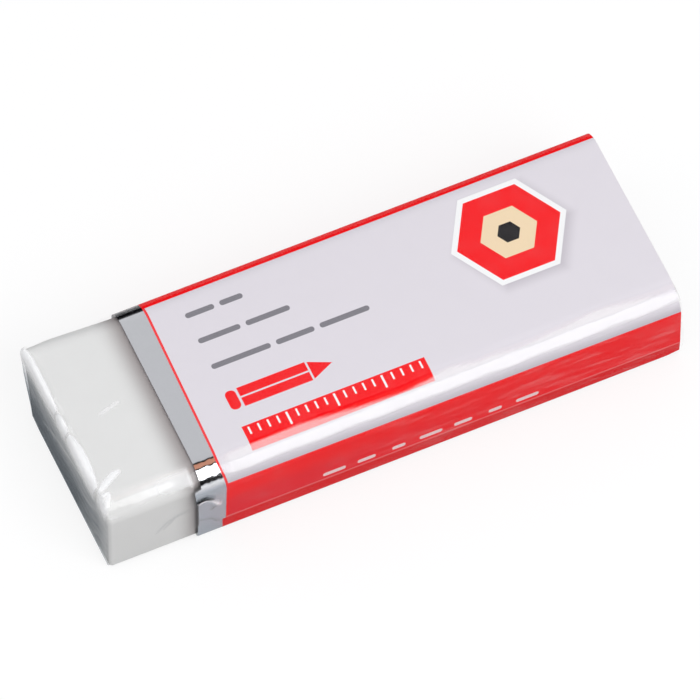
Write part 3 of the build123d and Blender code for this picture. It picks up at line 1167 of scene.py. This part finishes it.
# %% Ride and replace
for piece, node, finish in (
    (vinyl_block, "eraser_block", "white_vinyl"),
    (printed_sleeve, "card_sleeve", "printed_card"),
    (clear_wrap, "film_wrap", "clear_film"),
):
    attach(piece, "root")
    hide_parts(node)
    print(piece.name, "stands for", node)

# %% [markdown]
# ## Studio
#
# The light is a plain soft one: a pale room, a softbox in front, and a fill from the left that mirrors don't see.
# Two glints, in front and behind on the left, are for mirrors alone. Foil and film mirror the room, so it has the
# shapes that the photograph's reflections show: a dark band low in front, the soft boxes, and a narrow warm strip
# overhead. The floor is grey to soft light, and white to the camera and to mirrors, with the object's shadow on it.

# %% Floor
floor_side = 3.0
bpy.ops.object.select_all(action="DESELECT")
bpy.ops.mesh.primitive_plane_add(size=floor_side, location=(0, 0, cad_box[0].z))
floor = bpy.context.object
floor.name = "floor"
floor_paint, n, surface = new_material("floor_paint")
seen = n.add("LightPath").outputs
by_mirror = n.most(seen["Is Glossy Ray"], seen["Is Transmission Ray"])
direct = n.most(seen["Is Camera Ray"], by_mirror)
paint = n.add("BsdfDiffuse", {"Color": n.mix(direct, (0.26, 0.26, 0.26, 1), (1.0, 1.0, 1.0, 1))})
glow = n.add("Emission", {"Strength": 1.0})
lit = n.math("MULTIPLY_ADD", seen["Is Camera Ray"], 0.65, n.times(direct, 0.15))
n.put(surface, n.blend(lit, paint.outputs["BSDF"], glow.outputs["Emission"]))
floor.data.materials.append(floor_paint)

# %% Room light
room = bpy.data.worlds.new("studio_room")
bpy.context.scene.world = room
room.use_nodes = True
room.node_tree.nodes.clear()
n = Nodes(room.node_tree)
way = n.parts(n.add("TexCoord").outputs["Generated"])
over = n.math("ARCTAN2", way["Z"], n.times(way["Y"], -1.0))
walls = n.add("ValToRGB", {"Fac": n.math("DIVIDE", over, pi)})
walls.color_ramp.interpolation = "LINEAR"
low_wall = (0.75, 0.76, 0.78)
dark_band = (0.004, 0.004, 0.005)
grey_wall = (0.62, 0.62, 0.63)
black = (0.02, 0.02, 0.02)
copper = (0.82, 0.38, 0.25)
stops = [(0, low_wall), (4, low_wall), (6, dark_band), (30, dark_band), (31, grey_wall), (66, grey_wall)]
stops += [(67, black), (72, black), (73, copper), (86, copper), (87, black), (92, black)]
stops += [(94, (0.72, 0.72, 0.74)), (150, (0.80, 0.80, 0.82)), (165, (0.06, 0.06, 0.07))]
ramp = walls.color_ramp.elements
while len(ramp) < len(stops):
    ramp.new(0.5)
for element, (angle, _) in zip(ramp, stops):
    element.position = angle / 180
for element, (_, tone) in zip(ramp, stops):
    element.color = (*tone, 1)
matt = n.add("LightPath").outputs["Is Diffuse Ray"]
sky = n.mix(matt, walls.outputs["Color"], (0.69, 0.696, 0.712, 1))
light = n.add("Background", {"Color": sky, "Strength": 1.0})
n.put(n.add("OutputWorld").inputs["Surface"], light.outputs["Background"])


def softbox(name, toward, distance, width, height, radiance):
    """A flat lamp that looks at the object from a direction, as bright to a mirror as the radiance says."""
    lamp = bpy.data.lights.new(name, "AREA")
    lamp.shape = "RECTANGLE"
    lamp.size = width
    lamp.size_y = height
    lamp.energy = radiance * pi * width * height
    box = bpy.data.objects.new(name, lamp)
    bpy.context.collection.objects.link(box)
    direction = Vector(toward).normalized()
    box.location = place(0, 0, block_height / 2) + direction * distance
    box.rotation_euler = direction.to_track_quat("Z", "Y").to_euler()
    return box


softbox("front_softbox", (0.25, -0.65, 0.72), 0.7, 0.5, 0.45, 3.6)
softbox("front_glint", (0.25, -0.65, 0.72), 0.7, 0.5, 0.45, 1.3).visible_diffuse = False
softbox("back_glint", (-0.68, 0.47, 0.56), 0.8, 0.3, 0.8, 2.5).visible_diffuse = False
softbox("left_fill", (-1.0, 0.3, 0.1), 0.8, 0.5, 0.5, 1.7).visible_glossy = False
print("lamps:", [lamp.name for lamp in bpy.data.lights])

# %% [markdown]
# ## Camera
#
# The block's printed size and its outline in the photograph give the camera: a long lens from the left and well
# above. The angles and the distance come from fitting the block's form to that outline.

# %% Camera
camera_azimuth = radians(-24.112)
camera_elevation = radians(58.788)
camera_distance = 1353.5
camera_target = place(0.018, 0, 4.329)
camera_data = bpy.data.cameras.new("photo_camera")
camera_data.sensor_width = 36.0
camera_data.lens = 720.0
camera = bpy.data.objects.new("photo_camera", camera_data)
bpy.context.collection.objects.link(camera)
level = cos(camera_elevation)
back = Vector((sin(camera_azimuth) * level, -cos(camera_azimuth) * level, sin(camera_elevation)))
camera.location = camera_target + back * camera_distance * mm
camera.rotation_euler = back.to_track_quat("Z", "Y").to_euler()
bpy.context.scene.camera = camera
bpy.context.scene.view_settings.view_transform = "Standard"
print("camera at", [round(c, 3) for c in camera.location])
